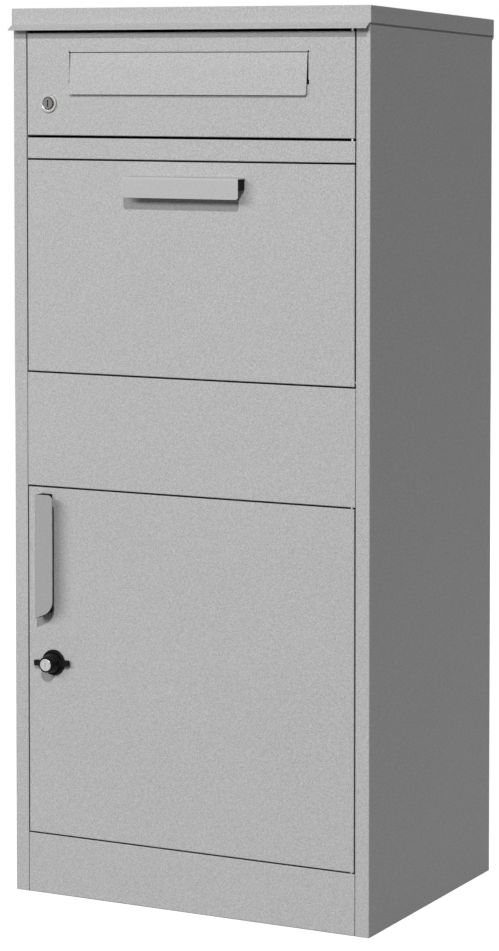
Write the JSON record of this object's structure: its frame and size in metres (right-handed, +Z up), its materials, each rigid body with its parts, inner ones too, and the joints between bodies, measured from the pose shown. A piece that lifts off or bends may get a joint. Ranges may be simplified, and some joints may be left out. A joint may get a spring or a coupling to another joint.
{
  "type": "parcel drop box",
  "caption": "Free-standing sheet-steel parcel drop box with a sloping lid, flapped letter door, swing-out parcel hopper, and a lower removal door with bar handle and wing knob.",
  "frame": {"origin": "middle of the cabinet's footprint, on the surface it stands on", "axes": "+X to the right seen from the front, +Y towards the back, +Z up; the doors face -Y"},
  "size_m": [0.45, 0.3509, 1.009],
  "materials": {
    "powder_coated_steel": "fine-textured silver-grey powder coat, satin",
    "zinc_plated_steel": "bright zinc plate",
    "black_plastic": "black moulded plastic, slight sheen",
    "nickel_plated_lock": "satin nickel plate",
    "rubber": "black rubber"
  },
  "bodies": {
    "cabinet": {"left_side_panel": "powder_coated_steel", "right_side_panel": "powder_coated_steel", "back_panel": "powder_coated_steel", "bottom_panel": "powder_coated_steel", "plinth_panel": "powder_coated_steel", "middle_panel": "powder_coated_steel", "upper_rail": "powder_coated_steel", "header_rail": "powder_coated_steel", "letter_shelf": "powder_coated_steel", "hopper_baffle": "powder_coated_steel", "lid": "powder_coated_steel", "lid_nuts": "zinc_plated_steel", "door_pins": "zinc_plated_steel", "hopper_pivots": "zinc_plated_steel", "door_stops": "powder_coated_steel", "door_buffers": "rubber", "rear_rivets": "zinc_plated_steel", "panel_rivets": "zinc_plated_steel"},
    "hopper": {"drop_door": "powder_coated_steel", "hopper_plate": "powder_coated_steel", "left_hopper_cheek": "powder_coated_steel", "right_hopper_cheek": "powder_coated_steel", "drop_handle": "powder_coated_steel", "drop_handle_blocks": "black_plastic", "drop_handle_screws": "zinc_plated_steel", "hopper_rivets": "zinc_plated_steel"},
    "letter_door": {"letter_door": "powder_coated_steel", "flap_hinge_rod": "zinc_plated_steel", "flap_hinge_clips": "zinc_plated_steel", "letter_lock_body": "nickel_plated_lock", "letter_lock_nut": "zinc_plated_steel"},
    "letter_flap": {"letter_flap": "powder_coated_steel"},
    "letter_lock": {"letter_lock_plug": "nickel_plated_lock", "letter_lock_cam": "zinc_plated_steel", "letter_cam_screw": "zinc_plated_steel"},
    "lower_door": {"lower_door": "powder_coated_steel", "door_stiffener": "powder_coated_steel", "lower_handle": "powder_coated_steel", "lower_handle_blocks": "black_plastic", "lower_handle_screws": "zinc_plated_steel", "knob_rosette": "black_plastic", "lower_lock_nut": "zinc_plated_steel"},
    "wing_knob": {"wing_knob": "black_plastic", "lock_spindle": "zinc_plated_steel", "lower_lock_cam": "zinc_plated_steel", "lower_cam_screw": "zinc_plated_steel"},
    "key_cylinder": {"key_cylinder": "nickel_plated_lock"}
  },
  "joints": [
    {"name": "letter_door_hinge", "type": "hinge", "parent": "cabinet", "child": "letter_door", "pos_m": [0.2013, -0.1615, 0.9236], "axis": [0, 0, 1], "range_deg": [0, 105]},
    {"name": "letter_flap_hinge", "type": "hinge", "parent": "letter_door", "child": "letter_flap", "pos_m": [-0.00015, -0.16254, 0.95659], "axis": [-1, 0, 0], "range_deg": [0, 80]},
    {"name": "letter_lock_turn", "type": "hinge", "parent": "letter_door", "child": "letter_lock", "pos_m": [-0.1768, -0.165, 0.90195], "axis": [0, -1, 0], "range_deg": [0, 90]},
    {"name": "hopper_hinge", "type": "hinge", "parent": "cabinet", "child": "hopper", "pos_m": [-0.00015, -0.1612, 0.60285], "axis": [1, 0, 0], "range_deg": [0, 45]},
    {"name": "lower_door_hinge", "type": "hinge", "parent": "cabinet", "child": "lower_door", "pos_m": [0.2013, -0.1615, 0.26775], "axis": [0, 0, 1], "range_deg": [0, 110]},
    {"name": "knob_turn", "type": "hinge", "parent": "lower_door", "child": "wing_knob", "pos_m": [-0.1726, -0.165, 0.26695], "axis": [0, 1, 0], "range_deg": [0, 90]},
    {"name": "key_turn", "type": "hinge", "parent": "wing_knob", "child": "key_cylinder", "pos_m": [-0.1726, -0.1841, 0.26695], "axis": [0, 1, 0], "range_deg": [0, 90]}
  ]
}
